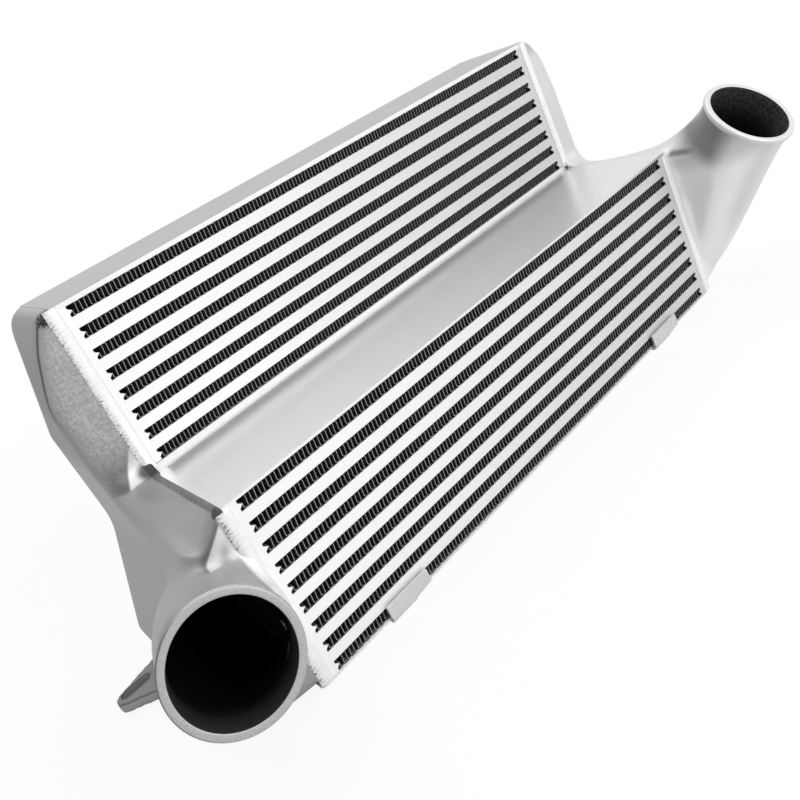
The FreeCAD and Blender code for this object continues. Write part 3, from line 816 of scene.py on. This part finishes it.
def mark_inside(mesh, mouth, axis, side):
    """Stores on each face whether it is shut in, so that the hollow can take a painted shade."""
    points = [v.co for v in mesh.vertices]
    polygons = [tuple(p.vertices) for p in mesh.polygons]
    wall = side * (CORE_END - 0.5 * MM)
    outline = [(FRONT, 0), (REAR, 0), (REAR, CORE_TOP), (STEP_FRONT, CORE_TOP),
               (STEP_FRONT, STEP_LEVEL), (FRONT, STEP_LEVEL)]
    first = len(points)
    points = points + [Vector((wall, y, z)) for y, z in outline]
    polygons += [(first, first + 1, first + 4, first + 5), (first + 1, first + 2, first + 3, first + 4)]
    tree = BVHTree.FromPolygons(points, polygons)
    ways = []
    for i in range(HOLLOW_RAYS):
        height = 1 - (2 * i + 1) / HOLLOW_RAYS
        level = math.sqrt(1 - height * height)
        ways.append(Vector((level * math.cos(2.4 * i), level * math.sin(2.4 * i), height)))
    levels = []
    for face in mesh.polygons:
        offset = face.center - mouth
        away = offset - axis * offset.dot(axis)
        if side > 0 and away.length > 35 * MM and face.center.y < FRONT - 1 * MM:
            levels.append(0.0)
            continue
        if away.length < 0.5 * (NECK_RADIUS + BORE_RADIUS) and offset.dot(axis) > -BORE_DEPTH:
            levels.append(1.0)
            continue
        start = face.center + face.normal * 0.8 * MM
        open_ways = 0
        for way in ways:
            if tree.ray_cast(start, way, 0.5)[0] is None:
                open_ways += 1
                if open_ways > HOLLOW_OPEN_RAYS:
                    break
        levels.append(1.0 if open_ways <= HOLLOW_OPEN_RAYS else 0.0)
    keep_inside(mesh, levels)


def mark_bore(rim, mouth, axis):
    """The same for the turned rim, whose bore alone is shut in."""
    levels = []
    for face in rim.polygons:
        radial = face.center - mouth - axis * (face.center - mouth).dot(axis)
        levels.append(1.0 if radial.length < BORE_RADIUS + 0.4 * MM else 0.0)
    keep_inside(rim, levels)


def keep_inside(mesh, levels):
    inside = mesh.attributes.new("inside", "FLOAT", "FACE")
    inside.data.foreach_set("value", levels)


def block(name, low, high):
    mesh = bpy.data.meshes.new(name)
    shell = bmesh.new()
    middle = (Vector(low) + Vector(high)) / 2
    size = Vector(high) - Vector(low)
    bmesh.ops.create_cube(shell, size=1.0, matrix=Matrix.Translation(middle) @ Matrix.Diagonal((*size, 1.0)))
    shell.to_mesh(mesh)
    shell.free()
    return mesh


def carved(mesh, cutters):
    """Mesh with closed cutters taken out of it."""
    holder = new_piece("carved_holder", mesh)
    helpers = [new_piece("cutter", cutter) for cutter in cutters]
    for helper in helpers:
        cut = holder.modifiers.new("cut", "BOOLEAN")
        cut.operation = "DIFFERENCE"
        cut.solver = "EXACT"
        cut.object = helper
    return plain_mesh(holder, helpers)


def saddle(sizes):
    """Web that carries the right neck's back down into the tank's shoulder."""
    mouth, axis = neck_line(sizes, 1)
    root = mouth - axis * sizes["length"] * MM
    across = Vector((0, 0, 1)).cross(axis).normalized()
    upward = axis.cross(across)
    radius = SADDLE_RADIUS
    reach = radius * math.tan(math.radians(sizes["rise"]) / 2)
    first = SADDLE_START - reach * 0.69
    last = SADDLE_START + reach
    points = []
    faces = []
    stations = 24
    count = 32
    for i in range(stations):
        share = i / (stations - 1)
        place = first + (last - first) * share
        top = NECK_RADIUS + radius - math.sqrt(max(radius * radius - (last - place) ** 2, 0)) - 0.4 * MM
        grown = share * share * (3 - 2 * share)
        middle = (15 + 25 * grown - sizes["reach"]) * MM
        half = (15 + 20.5 * grown) * MM
        power = 0.85 + 0.15 * grown
        foot = 8 * MM * (1 - grown)
        for j in range(count):
            turn = 2 * math.pi * j / count
            c, d = math.cos(turn), math.sin(turn)
            wide = half * math.copysign(abs(c) ** power, c)
            tall = foot + (top - foot if d > 0 else 16 * MM) * math.copysign(abs(d) ** power, d)
            points.append(root + axis * place + across * (middle + wide) + upward * tall)
    for i in range(stations - 1):
        for j in range(count):
            a = i * count + j
            b = i * count + (j + 1) % count
            faces.append((a, b, b + count, a + count))
    faces.append(tuple(range(count)))
    faces.append(tuple(range(stations * count - 1, (stations - 1) * count - 1, -1)))
    mesh = bpy.data.meshes.new("saddle")
    mesh.from_pydata(points, [], faces)
    shell = bmesh.new()
    shell.from_mesh(mesh)
    bmesh.ops.recalc_face_normals(shell, faces=shell.faces)
    shell.to_mesh(mesh)
    shell.free()
    bore = bpy.data.meshes.new("bore")
    pipe = bmesh.new()
    turned = Matrix((across, upward, axis)).transposed().to_4x4()
    bmesh.ops.create_cone(pipe, cap_ends=True, segments=64, radius1=SADDLE_BORE, radius2=SADDLE_BORE, depth=0.3,
                          matrix=Matrix.Translation(root) @ turned)
    pipe.to_mesh(bore)
    pipe.free()
    hollow = block("hollow", (CORE_END - 0.02, FRONT + 3 * MM, 0.03), (CORE_END + 25 * MM, 0.02, STEP_LEVEL - 3 * MM))
    past = block("past", (CORE_END - 0.1, FRONT - 0.1, 0.03), (CORE_END, 0.1, 0.3))
    return carved(mesh, [bore, hollow, past])


def reach_into_core(mesh):
    """Carries the open end of a tank a little into the core, so that no slit shows."""
    co = points_of(mesh)
    ends = np.abs(np.abs(co[:, 0]) - CORE_END) < 0.02 * MM
    co[ends, 0] -= np.sign(co[ends, 0]) * ROOT_OVERLAP
    put_points(mesh, co)


def clear_bead(mesh):
    """Keeps the far neck's root off the weld bead beside it."""
    co = points_of(mesh)
    out = co[:, 0] - CORE_END
    ahead = ease((FRONT - co[:, 1]) / MM, 0.1, 1.2)
    co[:, 0] += ahead * (np.maximum(out, BEAD_CLEARANCE) - out)
    put_points(mesh, co)


def slope_step(mesh, mouth, axis):
    """Lets the front corner of the left tank's step fall away outwards, as the cast one does."""
    co = points_of(mesh)
    clear = ease(radial_distance(co, mouth, axis) / MM, 36.5, 46.0)
    out = (-co[:, 0] - CORE_END) / MM
    ahead = ease(-co[:, 1] / MM, 55.0, 128.0)
    high = np.clip((co[:, 2] / MM - 110.0) / 29.7, 0, 1) * clear
    fall = np.clip(out - 3.0, 0.0, 17.0) * (1 - ease(out, 20.0, 42.0))
    co[:, 2] -= fall * ahead * high * MM
    put_points(mesh, co)


def near_step_corner(mesh, mouth, axis):
    """Weight from 0 to 1 over the part that slope_step moved, and over the crown's outer corner."""
    co = points_of(mesh)
    out = (-co[:, 0] - CORE_END) / MM
    clear = ease(radial_distance(co, mouth, axis) / MM, 37.0, 43.0)
    corner = (ease(-co[:, 1] / MM, 80.0, 120.0) * ease(co[:, 2] / MM, 104.0, 112.0) * ease(out, 2.0, 6.0)
              * (1 - ease(out, 42.0, 50.0)) * clear)
    crown = ease(co[:, 2] / MM, 225.0, 240.0) * ease(out, 2.0, 6.0)
    return np.maximum(corner, crown)


def build_tank(word, side, sizes, material, softness):
    mouth, axis = neck_line(sizes, side)
    cast = merged_copy(word + "_end_tank", word + "_cast")
    reach_into_core(cast)
    if side > 0:
        cast = joined(word + "_cast", [cast, saddle(sizes)])
    mesh = remeshed(cast, word + "_cast")
    if side > 0:
        clear_bead(mesh)
        mesh = soften(mesh, near_neck_root(mesh, mouth, axis), softness)
    else:
        slope_step(mesh, mouth, axis)
        mesh = soften(mesh, near_step_corner(mesh, mouth, axis), softness)
    cut = NECK_STRAIGHT - 8 * MM
    shell = bmesh.new()
    shell.from_mesh(mesh)
    everything = list(shell.verts) + list(shell.edges) + list(shell.faces)
    bmesh.ops.bisect_plane(shell, geom=everything, dist=0.001 * MM, plane_co=mouth - axis * cut,
                           plane_no=axis, clear_outer=True)
    shell.to_mesh(mesh)
    shell.free()
    mark_inside(mesh, mouth, axis, side)
    rim = lathe(word + "_rim", rim_profile(NECK_STRAIGHT - 2 * MM), mouth, axis, 160)
    mark_bore(rim, mouth, axis)
    paint(mesh, material)
    paint(rim, material)
    mesh.shade_smooth()
    finish_piece(new_piece(word + "_cast_tank", mesh), "cast_tank", word + "_end_tank")
    finish_piece(new_piece(word + "_neck_rim", rim), "cast_tank")


def build_tanks():
    build_tank("left", -1, LEFT_NECK, left_cast_finish(), NEAR_SOFTENING)
    build_tank("right", 1, RIGHT_NECK, right_cast_finish(), FAR_SOFTENING)


def build_clips():
    material = sheet_finish("clip_sheet", 0.62, 0.4, 0.36)
    for word in ("left", "right"):
        mesh = merged_copy(word + "_clip", word + "_folded_clip")
        paint(mesh, material)
        piece = new_piece(word + "_folded_clip", mesh)
        bevel = piece.modifiers.new("edges", "BEVEL")
        bevel.width = 0.35 * MM
        bevel.segments = 2
        bevel.limit_method = "ANGLE"
        finish_piece(piece, "clip_sheet", word + "_clip")


def paint_core():
    """Materials of the core's own nodes."""
    lower_bar = bar_finish("lower_bar_satin", FRONT, REAR)
    upper_bar = bar_finish("upper_bar_satin", STEP_FRONT, REAR)
    tread = tread_finish()
    band = top_band_finish()
    base = base_finish()
    # the inner strips are painted near black, a painted shade inside the bars
    inner = sheet_finish("inner_strip", 0.04, 0.3, 0.5)
    for name, node in nodes.items():
        if "turbulator" in name:
            paint(node.data, inner)
        elif name == "top_plate":
            paint(node.data, band)
        elif name in ("step_plate", "bottom_plate"):
            paint(node.data, tread)
        elif name == "upper_block_base":
            paint(node.data, base)
        elif "bars" in name or "sheets" in name:
            paint(node.data, lower_bar if name.startswith("lower") else upper_bar)


# Camera and studio
CAMERA_PLACE = (-0.32801, -0.54475, 0.33868)
CAMERA_RIGHT = (0.68649, -0.60597, -0.40191)
CAMERA_AHEAD = (0.51265, 0.79532, -0.32349)
PHOTO_SIZE = 800.0
FOCAL_PIXELS = 782.11
MIDDLE_PIXEL = (408.78, 299.48)
SENSOR_MM = 36.0
LAMP_AIM = (0, 0, 0.1)
KEY_WATTS = 25
TOP_WATTS = 24
WORLD_LEVEL = 0.55
FLOOR_GLOW = 0.9


def make_camera():
    camera = bpy.data.cameras.new("photo_camera")
    camera.sensor_width = SENSOR_MM
    camera.sensor_fit = "HORIZONTAL"
    camera.lens = FOCAL_PIXELS / PHOTO_SIZE * SENSOR_MM
    camera.shift_x = (PHOTO_SIZE / 2 - MIDDLE_PIXEL[0]) / PHOTO_SIZE
    camera.shift_y = (MIDDLE_PIXEL[1] - PHOTO_SIZE / 2) / PHOTO_SIZE
    camera.clip_start = 0.01
    camera.clip_end = 50.0
    rig = bpy.data.objects.new("photo_camera", camera)
    bpy.context.scene.collection.objects.link(rig)
    right = Vector(CAMERA_RIGHT).normalized()
    back = -Vector(CAMERA_AHEAD)
    back = (back - right * back.dot(right)).normalized()
    up = back.cross(right)
    turn = Matrix((right, up, back)).transposed().to_4x4()
    rig.matrix_world = Matrix.Translation(CAMERA_PLACE) @ turn
    bpy.context.scene.camera = rig


def area_light(name, place, aim, size, power):
    lamp = bpy.data.lights.new(name, "AREA")
    lamp.shape = "RECTANGLE"
    lamp.size = size[0]
    lamp.size_y = size[1]
    lamp.energy = power
    rig = bpy.data.objects.new(name, lamp)
    bpy.context.scene.collection.objects.link(rig)
    rig.location = place
    rig.rotation_euler = (Vector(aim) - Vector(place)).to_track_quat("-Z", "Y").to_euler()


def make_world():
    """White where the camera or a reflection looks past the object, softer as light."""
    world = bpy.data.worlds.new("studio_world")
    bpy.context.scene.world = world
    world.use_nodes = True
    tree = world.node_tree
    back = tree.nodes["Background"]
    back.inputs["Color"].default_value = (1, 1, 1, 1)
    path = tree.nodes.new("ShaderNodeLightPath")
    seen = path.outputs["Is Camera Ray"]
    for name in ("Is Glossy Ray", "Is Transmission Ray"):
        either = tree.nodes.new("ShaderNodeMath")
        either.operation = "MAXIMUM"
        tree.links.new(seen, either.inputs[0])
        tree.links.new(path.outputs[name], either.inputs[1])
        seen = either.outputs[0]
    level = tree.nodes.new("ShaderNodeMapRange")
    level.inputs["To Min"].default_value = WORLD_LEVEL
    level.inputs["To Max"].default_value = 1.0
    tree.links.new(seen, level.inputs["Value"])
    tree.links.new(level.outputs["Result"], back.inputs["Strength"])


def make_floor():
    """Pale floor that shows white to the camera and still takes a faint shadow."""
    mesh = bpy.data.meshes.new("studio_floor")
    far = 12.0
    level = cad_bounds[0][2] - 0.2 * MM
    mesh.from_pydata([(-far, -far, level), (far, -far, level), (far, far, level), (-far, far, level)], [],
                     [(0, 1, 2, 3)])
    floor = Finish("pale_floor")
    matt = floor.add("ShaderNodeBsdfDiffuse", {}, {"Color": (0.86, 0.86, 0.86, 1)})
    glow = floor.add("ShaderNodeEmission", {}, {"Color": (1, 1, 1, 1), "Strength": 1.0})
    seen = floor.add("ShaderNodeLightPath", {}, {}, "Is Camera Ray")
    reach = floor.add("ShaderNodeVectorMath", {"operation": "LENGTH"}, {0: floor.place()}, "Value")
    far_off = floor.add("ShaderNodeMapRange", {"interpolation_type": "SMOOTHSTEP"}, {
        "Value": reach, "From Min": 0.4, "From Max": 1.1, "To Min": FLOOR_GLOW, "To Max": 1.0})
    skin = floor.add("ShaderNodeMixShader", {}, {0: seen * far_off, 1: matt, 2: glow})
    output = floor.tree.nodes.new("ShaderNodeOutputMaterial")
    floor.tree.links.new(skin.output, output.inputs["Surface"])
    paint(mesh, floor.material)
    piece = new_piece("studio_floor", mesh)


def make_studio():
    area_light("key_softbox", (0.6, -1.9, 1.2), LAMP_AIM, (1.6, 1.2), KEY_WATTS)
    area_light("top_softbox", (0.2, 0.3, 2.2), LAMP_AIM, (2.4, 2.0), TOP_WATTS)
    make_world()
    make_floor()


paint_core()
build_fin_rows()
build_weld_beads()
build_tanks()
build_clips()
make_camera()
make_studio()
bpy.context.scene.view_settings.view_transform = "Standard"
